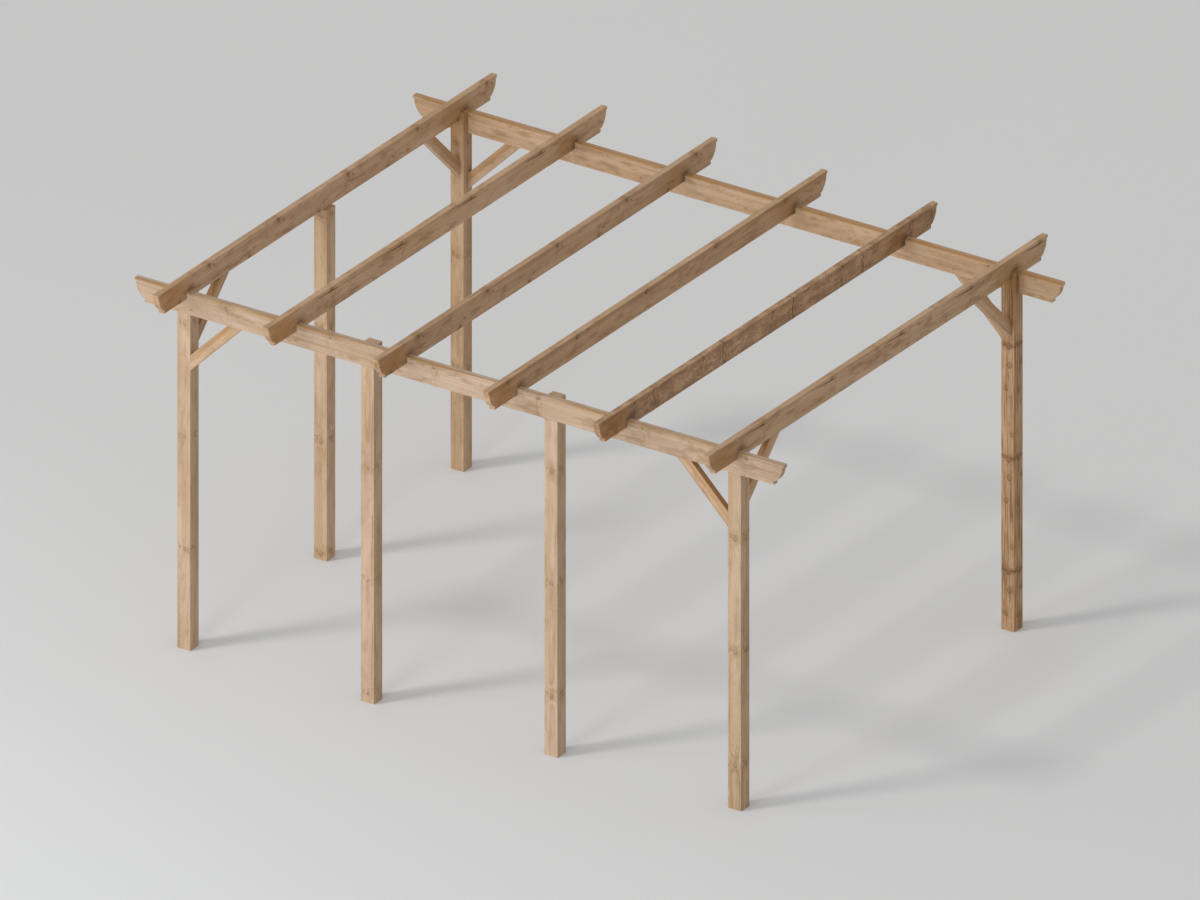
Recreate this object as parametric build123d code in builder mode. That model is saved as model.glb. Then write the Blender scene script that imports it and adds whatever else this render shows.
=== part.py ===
from build123d import *
import os

# Open timber pergola in millimetres: the origin is on the ground under the middle of the frame,
# +X runs to the right along the front beam and the front faces -Y.

# Overall size
frame_length = 4500
frame_depth = 3530
top_height = 2390

# Timber sections
post_side = 90
board_depth = 140
board_thickness = 40
brace_width = 70

# Layout of the frame
beam_overhang = 295
rafter_overhang = 298
front_post_count = 4
rafter_count = 6
brace_leg = 355

# Joints
lap = 45
joint_clearance = 0.3

# Shaped tails of the beams and rafters
tail_lip = 20
tail_step = 10
tail_radius = 118
tail_drop = 116
tail_ledge = 8

# Eased edges
arris = 1.5

# Heights of the bearing faces
rafter_bottom = top_height - board_depth
beam_top = rafter_bottom + lap
beam_bottom = beam_top - board_depth

# Lines of the posts and beams, beams flush with the outer faces of the posts
corner_x = frame_length / 2 - beam_overhang - post_side / 2
corner_y = frame_depth / 2 - rafter_overhang - post_side / 2
beam_y = corner_y + (post_side - board_thickness) / 2
front_post_pitch = 2 * corner_x / (front_post_count - 1)
rafter_pitch = 2 * corner_x / (rafter_count - 1)
slot_width = board_thickness + 2 * joint_clearance

os.makedirs("parts", exist_ok=True)


def save(piece, name):
    """Labels a finished piece and writes it under its own name."""
    piece.part.label = name
    export_step(piece.part, f"parts/{name}.step")


def half_board_outline(half_length, bottom):
    """Draws half a board's side view: top edge, lip, step, rounded tail, ledge, drop and bottom edge."""
    top = bottom + board_depth
    arc_fall = tail_drop - tail_lip
    arc_reach = (tail_radius**2 - arc_fall**2) ** 0.5
    arc_start = (half_length - tail_step, top - tail_lip)
    arc_end = (arc_start[0] - tail_radius + arc_reach, top - tail_drop)
    ledge_end = (arc_end[0] - tail_ledge, arc_end[1])
    Polyline((0, top), (half_length, top), (half_length, arc_start[1]), arc_start)
    RadiusArc(arc_start, arc_end, tail_radius)
    Polyline(arc_end, ledge_end, (ledge_end[0], bottom), (0, bottom))


# Posts: a square shaft with eased arrises
def post_shaft(x, y, height):
    """Makes a plain post of the given height on the ground at x, y."""
    with BuildPart() as shaft:
        with BuildSketch(Plane.XY):
            with Locations((x, y)):
                Rectangle(post_side, post_side)
        extrude(amount=height)
        chamfer(shaft.edges().filter_by(Axis.Z), arris)
    return shaft


# Front and back posts: the head is notched on its outer face for the beam
beam_post_places = {
    "post_front_left": (-corner_x, -corner_y),
    "post_front_mid_left": (-front_post_pitch / 2, -corner_y),
    "post_front_mid_right": (front_post_pitch / 2, -corner_y),
    "post_front_right": (corner_x, -corner_y),
    "post_back_left": (-corner_x, corner_y),
    "post_back_right": (corner_x, corner_y),
}
for name, (x, y) in beam_post_places.items():
    outward = 1 if y > 0 else -1
    with BuildPart() as post:
        add(post_shaft(x, y, beam_top).part)
        with BuildSketch(Plane.XY.offset(beam_bottom)):
            with Locations((x, outward * beam_y)):
                Rectangle(post_side, board_thickness)
        extrude(amount=board_depth, mode=Mode.SUBTRACT)
        if abs(x) == corner_x:
            # The tongue behind the beam is slotted for the end rafter
            with BuildSketch(Plane.XY.offset(rafter_bottom)):
                with Locations((x, y)):
                    Rectangle(slot_width, post_side)
            extrude(amount=lap, mode=Mode.SUBTRACT)
    save(post, name)

# Side post: plain, with the first rafter resting on its top
side_post = post_shaft(-corner_x, 0, rafter_bottom)
save(side_post, "post_left_side")

# Beams: boards on edge with shaped tails, flush with the outer faces of the posts
for name, outward in (("front_beam", -1), ("back_beam", 1)):
    with BuildPart() as beam:
        with BuildSketch(Plane.XZ.offset(-outward * beam_y)):
            with BuildLine():
                half_board_outline(frame_length / 2, beam_bottom)
                mirror(about=Plane.YZ)
            make_face()
        extrude(amount=board_thickness / 2, both=True)
        chamfer(beam.faces().filter_by(Axis.Y).edges(), arris)
    save(beam, name)

# Rafters: the same boards across, notched underneath to sit down over both beams
for number in range(rafter_count):
    rafter_x = -corner_x + number * rafter_pitch
    with BuildPart() as rafter:
        with BuildSketch(Plane.YZ.offset(rafter_x)):
            with BuildLine():
                half_board_outline(frame_depth / 2, rafter_bottom)
                mirror(about=Plane.YZ)
            make_face()
        extrude(amount=board_thickness / 2, both=True)
        chamfer(rafter.faces().filter_by(Axis.X).edges(), arris)
        with BuildSketch(Plane.YZ.offset(rafter_x)):
            with Locations((-beam_y, rafter_bottom), (beam_y, rafter_bottom)):
                Rectangle(slot_width, lap, align=(Align.CENTER, Align.MIN))
        extrude(amount=board_thickness / 2, both=True, mode=Mode.SUBTRACT)
    save(rafter, f"rafter_{number + 1}")


# Knee braces: a short board at 45 degrees, mitred against a post and the timber above it
def knee_brace(corner, toward):
    """Makes a brace from the inner corner of post and timber, reaching toward the given direction."""
    inner_leg = brace_leg - brace_width * 2**0.5
    with BuildPart() as brace:
        with BuildSketch(Plane(corner, x_dir=toward, z_dir=Vector(toward).cross(Vector(0, 0, 1)))):
            with BuildLine():
                Polyline((0, -brace_leg), (brace_leg, 0), (inner_leg, 0), (0, -inner_leg), close=True)
            make_face()
        extrude(amount=board_thickness / 2, both=True)
        chamfer(brace.edges().sort_by(SortBy.LENGTH)[-4:], arris)
    return brace


for end_name, end in (("front", -1), ("back", 1)):
    for side_name, side in (("left", -1), ("right", 1)):
        post_inner_x = side * (corner_x - post_side / 2)
        under_beam = knee_brace((post_inner_x, end * beam_y, beam_bottom), (-side, 0, 0))
        save(under_beam, f"brace_{end_name}_{side_name}_beam")
        post_inner_y = end * (corner_y - post_side / 2)
        under_rafter = knee_brace((side * corner_x, post_inner_y, rafter_bottom), (0, -end, 0))
        save(under_rafter, f"brace_{end_name}_{side_name}_rafter")
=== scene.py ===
import math

import bmesh
import bpy
from mathutils import Euler, Matrix, Vector


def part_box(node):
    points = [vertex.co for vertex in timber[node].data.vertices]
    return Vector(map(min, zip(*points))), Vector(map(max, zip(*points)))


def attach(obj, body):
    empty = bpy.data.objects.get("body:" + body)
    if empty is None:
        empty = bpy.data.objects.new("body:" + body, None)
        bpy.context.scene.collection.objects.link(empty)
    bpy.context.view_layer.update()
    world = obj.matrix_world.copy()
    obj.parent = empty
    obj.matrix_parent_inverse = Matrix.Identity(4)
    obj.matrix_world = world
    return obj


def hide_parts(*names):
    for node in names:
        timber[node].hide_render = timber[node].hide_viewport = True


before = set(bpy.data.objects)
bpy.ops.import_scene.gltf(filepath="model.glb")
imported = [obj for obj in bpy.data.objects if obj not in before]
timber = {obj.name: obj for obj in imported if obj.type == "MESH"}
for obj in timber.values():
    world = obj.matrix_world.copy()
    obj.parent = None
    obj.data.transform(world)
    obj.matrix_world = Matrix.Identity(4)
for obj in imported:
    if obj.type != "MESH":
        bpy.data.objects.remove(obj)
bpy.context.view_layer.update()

# Posts under the beams: square sticks of planed pine with eased arrises, cut from the heart of the log,
# so that each ring of branches shows as a knot at the same height on every face. The heads are notched
# on the outer side, where the beams are housed.


class Recipe:
    """The node tree of one material, written a node at a time."""

    def __init__(self, name):
        self.material = bpy.data.materials.new(name)
        self.material.use_nodes = True
        self.tree = self.material.node_tree
        self.shader = self.tree.nodes["Principled BSDF"]

    def feed(self, socket, value):
        """Joins a socket to an input, or sets the input to a plain value."""
        if isinstance(value, bpy.types.NodeSocket):
            self.tree.links.new(value, socket)
        else:
            socket.default_value = value

    def add(self, kind, inputs, **settings):
        """Adds a node with its settings, and its inputs by name or number."""
        node = self.tree.nodes.new("ShaderNode" + kind)
        for setting, value in settings.items():
            setattr(node, setting, value)
        for key, value in inputs.items():
            self.feed(node.inputs[key], value)
        return node

    def maths(self, operation, *values):
        """Adds one sum on plain numbers."""
        return self.add("Math", dict(enumerate(values)), operation=operation).outputs[0]

    def together(self, operation, values):
        """Joins a list of values by the same sum, one after another."""
        total = values[0]
        for value in values[1:]:
            total = self.maths(operation, total, value)
        return total

    def both(self, *masks):
        """Gives where all of the masks hold."""
        return self.together("MULTIPLY", masks)

    def vectors(self, operation, *values):
        """Adds one sum on vectors, which gives a vector."""
        return self.add("VectorMath", dict(enumerate(values)), operation=operation).outputs["Vector"]

    def vector(self, *values):
        """Makes a vector of up to three numbers."""
        return self.add("CombineXYZ", dict(enumerate(values))).outputs[0]

    def length(self, value):
        """Adds the length of a vector."""
        return self.add("VectorMath", {0: value}, operation="LENGTH").outputs["Value"]

    def noise(self, place, stretch, detail=2.0, roughness=0.5, output="Fac"):
        """Adds noise that is stretched by a scale along, across and through the timber."""
        scaled = self.vectors("MULTIPLY", place, stretch)
        inputs = {"Vector": scaled, "Scale": 1.0, "Detail": detail, "Roughness": roughness}
        return self.add("TexNoise", inputs).outputs[output]

    def ramp(self, value, low, high):
        """Adds a smooth step from 0 at low to 1 at high."""
        inputs = {"Value": value, "From Min": low, "From Max": high}
        return self.add("MapRange", inputs, interpolation_type="SMOOTHSTEP").outputs["Result"]

    def bell(self, value, centre, width):
        """Adds a bell curve of a number round a centre."""
        offset = self.maths("DIVIDE", self.maths("SUBTRACT", value, centre), width)
        return self.maths("EXPONENT", self.maths("MULTIPLY", self.maths("MULTIPLY", offset, offset), -1.0))

    def mix(self, share, first, second, blend="MIX"):
        """Adds a mix of two colours."""
        node = self.add("Mix", {0: share, 6: first, 7: second}, data_type="RGBA", blend_type=blend)
        return node.outputs[2]


def linear(red, green, blue):
    """Turns a colour as it is seen on a screen, 0 to 255, into the light it stands for."""
    channels = [c / 255 for c in (red, green, blue)]
    return (*[c / 12.92 if c <= 0.04045 else ((c + 0.055) / 1.055) ** 2.4 for c in channels], 1.0)


def middle(node):
    """The centre of a timber's box."""
    low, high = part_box(node)
    return (low + high) / 2


PALE = linear(202, 170, 140)
DEEP = linear(155, 118, 80)
HONEY = linear(181, 147, 107)
KNOT_BROWN = linear(140, 101, 61)
KNOT_RIM = linear(96, 67, 39)

# Rings of branches come at an even spacing, in metres, and CALM_GRAIN is how closely and how far the grain
# of most timbers shivers.
WHORL_SPACING = 0.7225
RINGS_PER_METRE = 230.0
CALM_GRAIN = (5.0, 0.005)
ARRIS_REACH = 0.005
GRAIN_RELIEF = 0.0006
PLANED_SHEEN = 0.4


class Wood(Recipe):
    """Planed pine for one timber, laid on layer by layer. Places in it are measured along, across and
    through the timber from its centre. half is half its section, and figure is how lively its grain is.
    """

    def __init__(self, node, lie, half, seed, figure=1.0):
        super().__init__(node + "_pine")
        self.half = half
        self.seed = seed
        self.figure = figure
        coords = self.add("TexCoord", {}).outputs["Object"]
        placing = {"Vector": coords, "Location": middle(node), "Rotation": lie}
        self.place = self.add("Mapping", placing, vector_type="TEXTURE").outputs[0]
        self.along, self.across, self.through = self.add("SeparateXYZ", {0: self.place}).outputs
        self.own = self.vectors("ADD", self.place, (seed * 7.31, seed * 1.7, seed * 3.3))
        self.from_side = self.maths("SUBTRACT", half[0], self.maths("ABSOLUTE", self.across))
        self.upper = self.ramp(self.through, half[1] - 0.0025, half[1] - 0.001)
        self.not_upper = self.maths("SUBTRACT", 1.0, self.upper)
        axis = Euler(lie).to_matrix() @ Vector((1.0, 0.0, 0.0))
        normal = self.add("NewGeometry", {}).outputs["Normal"]
        facing = self.add("VectorMath", {0: normal, 1: axis}, operation="DOT_PRODUCT").outputs["Value"]
        self.end_on = self.maths("ABSOLUTE", facing)

    def tint(self, colour, mask, strength):
        """Lays a colour over the wood where the mask says, up to a strength."""
        self.colour = self.mix(self.maths("MULTIPLY", mask, strength), self.colour, colour)

    def wander(self, stretch, reach):
        """How far the grain strays from straight at each place, up to half the reach each way."""
        drift = self.vectors("SUBTRACT", self.noise(self.own, stretch, output="Color"), (0.5, 0.5, 0.5))
        return self.vectors("MULTIPLY", drift, (reach, reach, reach))

    def from_whorl(self, along, first):
        """Distance along the timber from the nearest ring of branches, of which the first is given."""
        half = WHORL_SPACING / 2
        return self.maths("WRAP", self.maths("SUBTRACT", along, first), half, -half)

    def grow_knot(self, first, direction, side, size, lean, shiver):
        """Marks out one knot, and gives how far the rings swell round it."""
        if direction == "across":
            beside, depth, reach = self.through, self.across, self.half[0]
        else:
            beside, depth, reach = self.across, self.through, self.half[1]
        cell = self.from_whorl(self.along, first)
        beside = self.maths("SUBTRACT", beside, side)
        if lean:
            outline = (self.maths("MULTIPLY_ADD", beside, lean, cell), self.maths("MULTIPLY", beside, 0.6))
        else:
            outline = (self.maths("MULTIPLY", cell, 0.6), beside)
        flat = self.vectors("ADD", self.vector(*outline), shiver)
        through_timber = {"Value": depth, "From Min": -reach, "From Max": reach}
        tapered = self.add("MapRange", {**through_timber, "To Min": size, "To Max": size * 0.5})
        distance = self.maths("DIVIDE", self.length(flat), tapered.outputs["Result"])
        stretched = self.vectors("MULTIPLY", flat, (0.45 / size, 0.6 / size, 0.0))
        self.smudges.append(self.bell(self.length(stretched), 0.0, 1.0))
        if lean:
            self.spots.append(self.ramp(distance, 1.3, 0.45))
        else:
            self.distances.append(distance)
            lower_side = self.ramp(cell, size * 0.9, -size * 0.3)
            self.rims.append(self.both(self.bell(distance, 1.0, 0.2), lower_side))
        return self.maths("MULTIPLY", self.bell(distance, 0.0, 2.4), size * 1.2)

    def grow(self, pith, knots=(), shiver=CALM_GRAIN):
        """Lays down the rings round the heart of the log, which is never quite straight, and their grain.

        pith is where the heart lies in the section, and shiver is how closely and how far the grain
        shivers. A knot is (along, direction, side, radius, lean) and runs through the timber in that
        direction, at that distance to the side. A knot that leans is drawn out towards the edge of a board,
        any other along the grain.
        """
        closeness, reach = shiver
        shiver = self.wander((closeness, 30.0, 30.0), reach)
        drift = self.wander((0.8, 4.0, 4.0), 0.05)
        bent = self.vectors("ADD", self.vectors("ADD", self.place, drift), shiver)
        from_pith = self.vectors("SUBTRACT", bent, (0.0, *pith))
        radius = self.length(self.vectors("MULTIPLY", from_pith, (0.0, 1.0, 1.0)))
        self.ring_place = knots[0][0] if knots else 0.0
        self.smudges, self.spots, self.distances, self.rims = [], [], [], []
        for knot in knots:
            radius = self.maths("ADD", radius, self.grow_knot(*knot, shiver))

        outward = self.maths("MULTIPLY", radius, RINGS_PER_METRE)
        rings = self.vector(outward, self.maths("MULTIPLY", self.along, 0.6), self.seed)
        late = self.ramp(self.noise(rings, (1.0, 1.0, 1.0), 2.0, 0.6), 0.42, 0.72)
        broad = self.noise(rings, (0.16, 1.0, 1.0))
        self.fibre = self.noise(self.own, (8.0, 430.0, 430.0), 3.0, 0.6)
        self.streak = self.noise(self.own, (1.8, 80.0, 80.0), 3.0, 0.6)
        self.patch = self.noise(self.own, (2.2, 9.0, 9.0))
        self.mottle = self.noise(self.own, (55.0, 130.0, 130.0), 2.0, 0.6)
        shade = 0.0
        for part, weight in (
            (late, 0.26), (broad, 0.65), (self.streak, 0.45), (self.fibre, 0.20), (self.patch, 0.70),
            (self.mottle, 0.40),
        ):
            shade = self.maths("MULTIPLY_ADD", part, weight, shade)
        self.colour = self.mix(self.ramp(shade, 0.85, 1.85), PALE, DEEP)
        self.tint(HONEY, self.ramp(self.noise(self.own, (1.1, 6.0, 6.0), 1.0), 0.4, 0.7), 0.45)
        fleck = self.ramp(self.noise(self.own, (22.0, 300.0, 300.0)), 0.68, 0.8)
        self.tint(KNOT_BROWN, fleck, 0.30)
        cloud = self.ramp(self.noise(self.own, (7.0, 24.0, 24.0), 3.0, 0.6), 0.50, 0.68)
        self.tint(KNOT_BROWN, cloud, 0.42 * self.figure)
        self.height = self.maths("MULTIPLY_ADD", self.fibre, 0.9, self.maths("MULTIPLY", late, -0.4))

    def gather_bars(self, spread=0.035, low=0.48, colour=KNOT_BROWN, strength=0.35):
        """Gathers the grain into short dark bars across each ring of branches."""
        bars = self.ramp(self.noise(self.own, (60.0, 18.0, 18.0)), low, low + 0.17)
        at_ring = self.bell(self.from_whorl(self.along, self.ring_place), 0.0, spread)
        self.tint(colour, self.both(bars, at_ring), strength)

    def mark_knots(self):
        """Darkens the knots: a smudge along the grain, the core, and the bark round the lower side.
        A knot that leans is one dark spot.
        """
        if self.smudges:
            self.tint(DEEP, self.together("MAXIMUM", self.smudges), 0.5 * self.figure)
        if self.distances:
            near = self.together("MINIMUM", self.distances)
            core = self.ramp(near, 1.25, 0.6)
            turns = self.maths("SINE", self.maths("MULTIPLY", near, 13.0))
            heart = self.mix(self.maths("MULTIPLY_ADD", turns, 0.2, 0.25), KNOT_BROWN, KNOT_RIM)
            self.tint(heart, core, 0.35 * self.figure)
            rim = self.both(self.together("MAXIMUM", self.rims), self.ramp(self.mottle, 0.25, 0.5))
            self.tint(KNOT_RIM, rim, 0.75 * self.figure)
            self.height = self.maths("MULTIPLY_ADD", core, 0.7, self.height)
        if self.spots:
            spot = self.both(self.together("MAXIMUM", self.spots), self.not_upper)
            self.tint(KNOT_RIM, spot, 0.6)
            self.height = self.maths("MULTIPLY_ADD", spot, 0.7, self.height)

    def rub(self):
        """Darkens the sawn ends, which drink in more dirt than planed faces, and rubs the arrises pale."""
        self.tint(DEEP, self.ramp(self.end_on, 0.55, 0.95), 0.12)
        from_top = self.maths("SUBTRACT", self.half[1], self.maths("ABSOLUTE", self.through))
        corner = self.ramp(self.maths("MAXIMUM", self.from_side, from_top), ARRIS_REACH, 0.0)
        self.tint(PALE, self.both(corner, self.ramp(self.streak, 0.35, 0.65)), 0.45)

    def finish(self, tone=None):
        """Sets the timber's tone, the relief of its grain and its dull sheen, and gives the material."""
        if tone:
            self.colour = self.mix(1.0, self.colour, (*tone, 1.0), "MULTIPLY")
        self.feed(self.shader.inputs["Base Color"], self.colour)
        bump = self.add("Bump", {"Strength": 0.5, "Distance": GRAIN_RELIEF, "Height": self.height})
        self.feed(self.shader.inputs["Normal"], bump.outputs[0])
        self.feed(self.shader.inputs["Roughness"], self.maths("MULTIPLY_ADD", self.fibre, 0.2, 0.55))
        self.shader.inputs["Specular IOR Level"].default_value = PLANED_SHEEN
        return self.material


def wear(piece, material):
    """Gives a timber its own wood."""
    piece.data.materials.clear()
    piece.data.materials.append(material)


UPRIGHT = (0.0, -math.pi / 2, 0.0)
POST_HALF = (0.045, 0.045)
POST_PITH = (0.012, -0.008)


def whorl(first, size):
    """A ring of small branches cut through: a knot on each pair of faces and a twig beside it."""
    return [
        (first, "across", -0.006, size, 0.0), (first + 0.008, "across", 0.024, size * 0.55, 0.0),
        (first + 0.004, "through", 0.006, size, 0.0), (first + 0.02, "through", -0.016, size * 0.5, 0.0),
    ]


COARSE_WHORLS = whorl(-0.0375, 0.016) + [
    (-0.16, "across", -0.012, 0.014, 0.0), (-0.31, "across", 0.01, 0.013, 0.0),
    (-0.60, "across", -0.03, 0.012, 0.0), (-0.15, "through", 0.03, 0.012, 0.0),
    (-0.32, "through", 0.0, 0.014, 0.0),
]
# Dark brown for the coarse grain lines of a post, and for the painted contact shadow on the rafters over
# the beams.
GRAIN_AND_SHADOW_BROWN = linear(108, 74, 36)


def coarsen(wood):
    """Draws the strong straight grain lines of a coarse timber, and closer, darker bars at its knots."""
    wood.gather_bars(spread=0.015, low=0.38, colour=KNOT_RIM, strength=0.85)
    straight = wood.vectors("ADD", wood.own, wood.wander((3.0, 12.0, 12.0), 0.012))
    lines = wood.ramp(wood.noise(straight, (2.2, 100.0, 100.0), 3.0, 0.6), 0.48, 0.60)
    wood.tint(GRAIN_AND_SHADOW_BROWN, lines, 0.7)


# Painted shade and warm bounce light at the heads of the back posts, under the rafters.
SHADE_UNDER_THE_RAFTERS = [(1.12, 0.16, 0.55)]
# Warm brown for the brown streak along the beams' front arris, and for painted shade and bounce light
# beside joints and on the braces' upper faces.
WARM_STAIN_AND_SHADE = linear(157, 110, 48)


def paint_joint_bounce_shade(wood, joint_shades):
    """Paints the wood beside a joint warm and dark: painted shade, with painted warm light bounced off the
    timber next to it.

    A patch is (along, half length, strength).
    """
    for joint_place, half_length, strength in joint_shades:
        ragged = wood.maths("MULTIPLY_ADD", wood.patch, 0.2, wood.maths("SUBTRACT", wood.along, 0.1))
        near_joint = wood.bell(ragged, joint_place, half_length)
        wood.tint(WARM_STAIN_AND_SHADE, wood.both(near_joint, wood.ramp(wood.end_on, 0.5, 0.1), wood.not_upper), strength)


# A drying crack is (along, half length, through, half width), and there is another at each spacing of the
# branches. CRACK_DEPTH is in half widths.
MID_LEFT_CRACK = [(0.60, 0.27, -0.033, 0.0013)]
# Colour of the painted shade inside the drying cracks.
CRACK_SHADE = linear(98, 68, 44)
CRACK_SLOPE = 0.006
CRACK_WAVER = 0.0009
CRACK_DEPTH = 3.0
CRACK_STEPS = 24
WIDEST_AT = 0.35
BLUNT_TIP = 0.002
CLEAR_OF_END = 0.01
PROUD = 0.001


def darken_cracks(wood, cracks):
    """Paints shade on the walls inside the drying cracks, and makes the wood beside them a little darker.
    """
    for first, half_length, level, width in cracks:
        reach = wood.maths("DIVIDE", wood.from_whorl(wood.along, first), half_length)
        line = wood.maths("MULTIPLY_ADD", reach, CRACK_SLOPE, wood.maths("SUBTRACT", wood.through, level))
        gap = wood.maths("DIVIDE", wood.maths("ABSOLUTE", line), width)
        to_tip = wood.maths("ABSOLUTE", reach)
        on_face = wood.ramp(wood.end_on, 0.5, 0.2)
        split_side = wood.ramp(wood.across, 0.0, -0.01)
        beside = wood.both(wood.ramp(gap, 3.5, 0.8), split_side, wood.ramp(to_tip, 1.0, 0.6), on_face)
        wood.tint(KNOT_BROWN, beside, 0.35)
        under_face = wood.ramp(wood.from_side, 0.0004, 0.003)
        # Painted shade inside the crack.
        crack_shade = wood.both(under_face, wood.ramp(gap, 2.2, 1.8), on_face, wood.ramp(to_tip, 1.1, 1.05))
        wood.tint(CRACK_SHADE, crack_shade, 1.0)


def split_open(node, lie, half, cracks):
    """Puts in place of a CAD timber the same timber with its drying cracks cut into the face nearest the
    front or right. Each is a long thin wedge, widest past its middle, and crosses the grain a little.
    """
    to_frame = Matrix.Translation(middle(node)) @ Euler(lie).to_matrix().to_4x4()
    low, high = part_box(node)
    end = max(high - low) / 2
    wedges = bmesh.new()
    for first, half_length, level, width in cracks:
        count = int(2 * end / WHORL_SPACING) + 1
        for turn in range(-count, count + 1):
            centre = first + turn * WHORL_SPACING
            if abs(centre) + half_length > end - CLEAR_OF_END:
                continue
            rows = []
            for step in range(CRACK_STEPS + 1):
                reach = 2 * step / CRACK_STEPS - 1
                fullness = 0.65 + 0.35 * math.exp(-(((reach - WIDEST_AT) / 0.3) ** 2))
                gape = width * fullness * math.sqrt(max(1 - reach * reach, BLUNT_TIP))
                line = level - CRACK_SLOPE * reach + CRACK_WAVER * math.sin(8.0 * reach + 30.0 * centre)
                along = centre + reach * half_length
                profile = (
                    (-half[0] - PROUD, line + gape), (-half[0] - PROUD, line - gape),
                    (-half[0] + CRACK_DEPTH * gape, line - 0.2 * gape),
                )
                rows.append([wedges.verts.new(to_frame @ Vector((along, *point))) for point in profile])
            for row, following in zip(rows, rows[1:]):
                for side in range(3):
                    beside = (side + 1) % 3
                    wedges.faces.new((row[side], row[beside], following[beside], following[side]))
            wedges.faces.new(rows[0])
            wedges.faces.new(rows[-1])
    bmesh.ops.recalc_face_normals(wedges, faces=wedges.faces)
    cutter_mesh = bpy.data.meshes.new(node + "_wedges")
    wedges.to_mesh(cutter_mesh)
    wedges.free()
    cutter = bpy.data.objects.new(node + "_wedges", cutter_mesh)
    split = bpy.data.objects.new(node + "_split", timber[node].data.copy())
    for thing in (cutter, split):
        bpy.context.scene.collection.objects.link(thing)
    cut = split.modifiers.new("cracks", "BOOLEAN")
    cut.object = cutter
    cut.solver = "EXACT"
    split.data = bpy.data.meshes.new_from_object(split.evaluated_get(bpy.context.evaluated_depsgraph_get()))
    split.modifiers.clear()
    bpy.data.objects.remove(cutter)
    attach(split, "root")
    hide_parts(node)
    return split


for number, (name, knots, coarse, joint_shades, cracks, tone) in enumerate((
    ("post_front_left", whorl(0.2225, 0.009), False, [], [], (0.97, 1.01, 1.08)),
    ("post_front_mid_left", whorl(0.3625, 0.007), False, [], MID_LEFT_CRACK, (0.935, 0.97, 1.01)),
    ("post_front_mid_right", whorl(-0.03, 0.013), False, [], [], (0.98, 1.055, 1.11)),
    ("post_front_right", whorl(-0.13, 0.013), False, [], [], (0.91, 0.94, 0.94)),
    ("post_back_left", whorl(0.2325, 0.012), False, SHADE_UNDER_THE_RAFTERS, [], (0.935, 0.925, 0.885)),
    ("post_back_right", COARSE_WHORLS, True, SHADE_UNDER_THE_RAFTERS, [], (0.955, 0.885, 0.775)),
)):
    wood = Wood(name, UPRIGHT, POST_HALF, seed=number * 1.37, figure=1.0 if coarse else 0.7)
    wood.grow(POST_PITH, knots)
    # Painted shade and warm bounce light at the heads of the back posts.
    paint_joint_bounce_shade(wood, joint_shades)
    if coarse:
        coarsen(wood)
    else:
        wood.gather_bars()
    wood.mark_knots()
    wood.rub()
    darken_cracks(wood, cracks)
    piece = split_open(name, UPRIGHT, POST_HALF, cracks) if cracks else timber[name]
    wear(piece, wood.finish(tone))

# Side post: the same stick of planed pine, but without a notch. The first rafter rests on its sawn top
# and is fixed to it from above.
wood = Wood("post_left_side", UPRIGHT, POST_HALF, seed=9.1, figure=0.7)
wood.grow((0.01, 0.006), whorl(-0.355, 0.013))
wood.gather_bars()
wood.mark_knots()
wood.rub()
wear(timber["post_left_side"], wood.finish(tone=(1.025, 1.05, 1.075)))

# Beams: two boards of planed pine on edge, one housed in the front posts and one in the back posts,
# with a shaped tail sawn at each end. The upper edges are paler on the front beam and darker on the back
# one, and their front arris has gone brown.
ALONG_BEAM = (0.0, 0.0, 0.0)
BOARD_HALF = (0.02, 0.07)
# A paler colour laid on the upper face of the front beam and the rafters.
UPPER_PALE = linear(210, 183, 153)


def tint_upper_face(wood, colour, strength):
    """Lays a colour over the upper face: painted shade with warm bounce light on the braces, and a paler or
    darker upper face on the beams and rafters.
    """
    wood.tint(colour, wood.upper, strength)


def brown_arris(wood):
    """Lays a brown streak along the upper arris at the front."""
    under_top = wood.maths("SUBTRACT", wood.through, wood.half[1])
    behind_front = wood.maths("SUBTRACT", -wood.half[0], wood.across)
    by_arris = wood.bell(wood.maths("ADD", under_top, behind_front), -0.004, 0.008)
    wood.tint(WARM_STAIN_AND_SHADE, wood.both(by_arris, wood.ramp(wood.streak, 0.3, 0.55)), 0.85)


for name, first_knot, seed, top_colour, top_strength, tone in (
    ("front_beam", 0.55, 20.0, UPPER_PALE, 0.35, (0.92, 0.98, 1.07)),
    ("back_beam", 0.3, 22.1, DEEP, 0.5, (1.11, 1.11, 1.10)),
):
    wood = Wood(name, ALONG_BEAM, BOARD_HALF, seed, figure=1.2)
    wood.grow((0.02, -0.11), [
        (first_knot, "across", 0.045, 0.006, 0.0), (first_knot - 0.24, "across", -0.035, 0.004, 0.0),
    ])
    tint_upper_face(wood, top_colour, top_strength)
    wood.gather_bars()
    wood.mark_knots()
    wood.rub()
    brown_arris(wood)
    wear(timber[name], wood.finish(tone))

# Rafters: six boards of the same planed pine on edge, with the same sawn tails, notched underneath to sit
# down over both beams. The fifth has wavy, torn grain, and the second and sixth have split in drying.
ALONG_RAFTER = (0.0, 0.0, math.pi / 2)
WAVY_GRAIN = (14.0, 0.016)
# Painted shade and warm bounce light on the rafters, in front of the front beam and inside the back beam.
SHADE_BESIDE_THE_NOTCHES = [(-1.62, 0.16, 0.6), (1.33, 0.12, 0.5)]
# Places of the painted contact shadow on the rafters, just above the beams.
SHADOW_OVER_THE_NOTCHES = [-1.43, 1.43]


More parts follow.
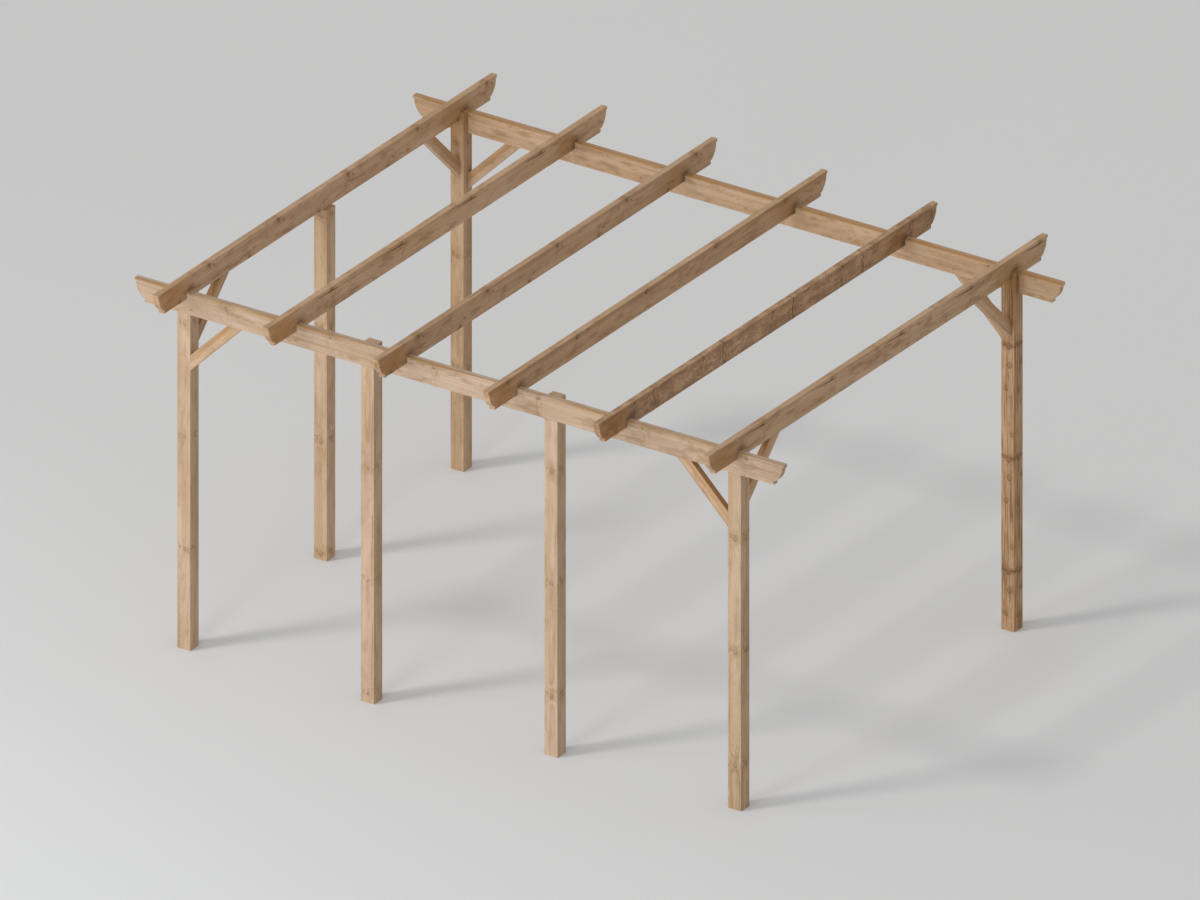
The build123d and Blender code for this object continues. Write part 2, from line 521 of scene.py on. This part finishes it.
def board_knots(high, low):
    """Knots at the top edge, which lean away from it, and others lower down and at the bottom edge."""
    return [
        (high, "across", 0.060, 0.014, 0.5), (high + 0.055, "across", 0.035, 0.0055, 0.7),
        (low, "across", -0.066, 0.013, 0.1), (low + 0.05, "across", -0.02, 0.005, 0.0),
    ]


def board_cracks(first):
    """A long drying crack under the top edge and a finer one beyond it, on the face away from the heart."""
    return [(first, 0.122, 0.0465, 0.0036), (first + 0.19, 0.06, 0.043, 0.0012)]


def darken_edge(wood, strength):
    """Darkens the side of a board just under its upper edge."""
    ragged = wood.maths("ADD", wood.through, wood.maths("MULTIPLY", wood.patch, 0.03))
    under_edge = wood.ramp(ragged, wood.half[1] - 0.03, wood.half[1])
    wood.tint(KNOT_BROWN, wood.both(under_edge, wood.not_upper), strength)


def paint_notch_shadow(wood, places):
    """Paints a contact shadow on the lower half of a board at some places along it, where it sits over a
    beam.
    """
    low_down = wood.ramp(wood.through, 0.04, -0.03)
    for notch_place in places:
        # Painted contact shadow, darkest low on the board.
        wood.tint(GRAIN_AND_SHADOW_BROWN, wood.both(wood.bell(wood.along, notch_place, 0.045), low_down), 0.8)


def draw_seams(wood, seams):
    """Draws the torn grain of a wavy board: curly lines and blotches, pores, and dark seams that wander
    across it with a ladder of short bars beside them. A seam is (along, strength).
    """
    curly = wood.vectors("ADD", wood.own, wood.wander((9.0, 20.0, 20.0), 0.06))
    lines = wood.ramp(wood.noise(curly, (6.0, 45.0, 45.0), 3.0, 0.6), 0.52, 0.66)
    blotch = wood.ramp(wood.noise(curly, (9.0, 14.0, 14.0)), 0.44, 0.62)
    torn = wood.maths("MAXIMUM", wood.maths("MULTIPLY", lines, 0.42), wood.maths("MULTIPLY", blotch, 0.36))
    wood.tint(KNOT_RIM, torn, 1.0)
    pores = wood.ramp(wood.noise(wood.own, (60.0, 110.0, 110.0), 2.0, 0.6), 0.52, 0.66)
    wood.tint(KNOT_RIM, pores, 0.4)
    ladder = wood.ramp(wood.noise(wood.own, (90.0, 14.0, 14.0)), 0.46, 0.60)
    ladder = wood.both(ladder, wood.ramp(wood.through, 0.05, -0.03))
    strayed = wood.vectors("ADD", wood.place, wood.wander((4.0, 22.0, 22.0), 0.07))
    winding = wood.add("SeparateXYZ", {0: strayed}).outputs[0]
    for seam_place, strength in seams:
        from_seam = wood.from_whorl(winding, seam_place)
        seam = wood.both(wood.bell(from_seam, 0.0, 0.005), wood.ramp(wood.mottle, 0.3, 0.5))
        wood.tint(KNOT_RIM, seam, strength)
        wood.tint(KNOT_RIM, wood.both(ladder, wood.bell(from_seam, 0.0, 0.06)), 0.75 * strength)


for number, (knots, cracks, dark_edge, seams, tone) in enumerate((
    (board_knots(0.21, -0.09), [], 0.0, [], (0.97, 0.93, 0.88)),
    ([(0.35, "across", 0.056, 0.008, 0.0)], board_cracks(0.302), 0.0, [], (1.03, 1.0, 0.96)),
    (board_knots(0.095, -0.19), [], 0.0, [], (0.92, 0.88, 0.83)),
    ([(-0.11, "across", 0.052, 0.012, 0.0)], [], 0.45, [], (0.98, 0.95, 0.90)),
    ([(0.054, "across", 0.060, 0.010, 0.2)], [], 0.25, [(0.26, 0.85), (0.04, 0.6)], (0.98, 0.92, 0.84)),
    ([(0.245, "across", 0.056, 0.008, 0.0)], board_cracks(0.187), 0.0, [], (0.97, 0.96, 0.93)),
), start=1):
    name = f"rafter_{number}"
    wood = Wood(name, ALONG_RAFTER, BOARD_HALF, seed=30 + number * 1.9, figure=1.1 if seams else 1.4)
    wood.grow((0.03, 0.12), knots, WAVY_GRAIN if seams else CALM_GRAIN)
    if dark_edge:
        darken_edge(wood, dark_edge)
    tint_upper_face(wood, UPPER_PALE, 0.15)
    # Painted shade and warm bounce light beside the beams.
    paint_joint_bounce_shade(wood, SHADE_BESIDE_THE_NOTCHES)
    # Painted contact shadow where the rafter sits over each beam.
    paint_notch_shadow(wood, SHADOW_OVER_THE_NOTCHES)
    wood.gather_bars()
    if seams:
        draw_seams(wood, seams)
    wood.mark_knots()
    wood.rub()
    darken_cracks(wood, cracks)
    piece = split_open(name, ALONG_RAFTER, BOARD_HALF, cracks) if cracks else timber[name]
    wear(piece, wood.finish(tone))

# Knee braces: short boards of the same pine at 45 degrees, mitred at both ends and fixed between each
# corner post and the beam or rafter above it. Their upper edges are painted warm brown: painted shade
# with warm bounce light between brace, beam and post.
BRACE_HALF = (0.02, 0.035)
BRACE_SLOPE = math.pi / 4
for number, name in enumerate(sorted(n for n in timber if n.startswith("brace"))):
    if name.endswith("beam"):
        lie = (0.0, -BRACE_SLOPE if "left" in name else BRACE_SLOPE, 0.0)
    else:
        lie = (0.0, -BRACE_SLOPE if "front" in name else BRACE_SLOPE, math.pi / 2)
    wood = Wood(name, lie, BRACE_HALF, seed=50 + number * 1.7)
    wood.grow((0.02, 0.09))
    # The upper face is painted dark warm brown: painted shade and bounce light.
    tint_upper_face(wood, WARM_STAIN_AND_SHADE, 0.7)
    wood.gather_bars()
    wood.rub()
    wear(timber[name], wood.finish())

# Ground: a plain matt floor, one pale sheet that runs out far past the picture, so that none of its edges
# shows. The posts stand on it with nothing under their feet.
FLOOR_HALF = 40.0
corners = [(x * FLOOR_HALF, y * FLOOR_HALF, 0.0) for x, y in ((-1, -1), (1, -1), (1, 1), (-1, 1))]
mesh = bpy.data.meshes.new("floor")
mesh.from_pydata(corners, [], [(0, 1, 2, 3)])
floor = bpy.data.objects.new("floor", mesh)
bpy.context.scene.collection.objects.link(floor)
ground = Recipe("pale_floor")
ground.shader.inputs["Base Color"].default_value = linear(221, 221, 221)
ground.shader.inputs["Roughness"].default_value = 0.9
ground.shader.inputs["Specular IOR Level"].default_value = 0.1
mesh.materials.append(ground.material)

# Light: a hazy sun from the front left, a wide soft lamp low in front, a weak one at the front left,
# and an even white sky.
SKY_STRENGTH = 0.585
sky = bpy.data.worlds.new("sky")
bpy.context.scene.world = sky
sky.use_nodes = True
sky.node_tree.nodes["Background"].inputs["Color"].default_value = (1.0, 1.0, 1.0, 1.0)
sky.node_tree.nodes["Background"].inputs["Strength"].default_value = SKY_STRENGTH


def hang(name, light, place, aim):
    """Hangs a lamp at a place, turned towards an aim."""
    hung = bpy.data.objects.new(name, light)
    hung.location = place
    hung.rotation_euler = (Vector(place) - Vector(aim)).to_track_quat("Z", "Y").to_euler()
    hung.visible_camera = False
    bpy.context.scene.collection.objects.link(hung)


SUN_PLACE = (-3.777, -4.932, 7.837)
sun = bpy.data.lights.new("sun", "SUN")
sun.energy = 0.68
sun.color = (1.0, 0.975, 0.95)
sun.angle = math.radians(9)
hang("sun", sun, SUN_PLACE, (0.0, 0.0, 0.0))

LAMP_WIDTH = 4.0
LAMP_AIM = (0.0, -1.0, 1.0)
for name, place, power, colour in (
    ("front_lamp", (0.0, -14.0, 2.0), 760.0, (0.83, 0.92, 1.0)),
    ("left_lamp", (-6.0, -7.0, 4.0), 100.0, (1.0, 1.0, 1.0)),
):
    lamp = bpy.data.lights.new(name, "AREA")
    lamp.shape = "DISK"
    lamp.size = LAMP_WIDTH
    lamp.energy = power
    lamp.color = colour
    hang(name, lamp, place, LAMP_AIM)

# Camera: a parallel view from the front right, turned and raised as the photograph's, and aimed at a point
# above the middle of the ground.
AZIMUTH = math.radians(33.68)
ELEVATION = math.radians(25.89)
PIXELS_PER_METRE = 173.25
PICTURE_WIDTH = 1200
CAMERA_DISTANCE = 15.0
AIM = Vector((0.0, 0.0, 1.2))
level = math.cos(ELEVATION)
out = Vector((math.sin(AZIMUTH) * level, -math.cos(AZIMUTH) * level, math.sin(ELEVATION)))
camera = bpy.data.objects.new("camera", bpy.data.cameras.new("camera"))
camera.data.type = "ORTHO"
camera.data.ortho_scale = PICTURE_WIDTH / PIXELS_PER_METRE
camera.data.clip_end = 100.0
camera.location = AIM + out * CAMERA_DISTANCE
camera.rotation_euler = out.to_track_quat("Z", "Y").to_euler()
bpy.context.scene.collection.objects.link(camera)
bpy.context.scene.camera = camera
bpy.context.scene.view_settings.view_transform = "Standard"
